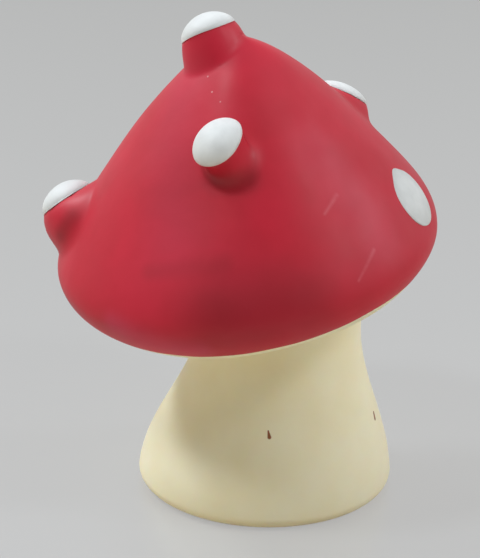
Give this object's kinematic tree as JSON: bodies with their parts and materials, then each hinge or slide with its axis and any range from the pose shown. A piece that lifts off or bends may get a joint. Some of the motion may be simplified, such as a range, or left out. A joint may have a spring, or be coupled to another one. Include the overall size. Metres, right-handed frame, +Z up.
{
  "type": "mushroom ornament",
  "caption": "Small painted ceramic mushroom ornament with a leaning pointed red cap, raised white spots and a flared cream stem that stands on its flat foot.",
  "frame": {"origin": "middle of the flat base that the ornament stands on", "axes": "+Z up; the pictured front faces -Y; the cap leans towards -X and nods a little towards -Y"},
  "size_m": [0.045, 0.0434, 0.0571],
  "materials": {
    "cream_body": "satin",
    "red_paint": "satin",
    "white_enamel": "gloss"
  },
  "bodies": {
    "root": {"stem": "cream_body", "cap_underside": "cream_body", "cap_shell": "red_paint", "spot_top": "white_enamel", "spot_front": "white_enamel", "spot_left": "white_enamel", "spot_right": "white_enamel", "spot_back_right": "white_enamel", "spot_back": "white_enamel", "spot_back_left": "white_enamel"}
  },
  "joints": []
}
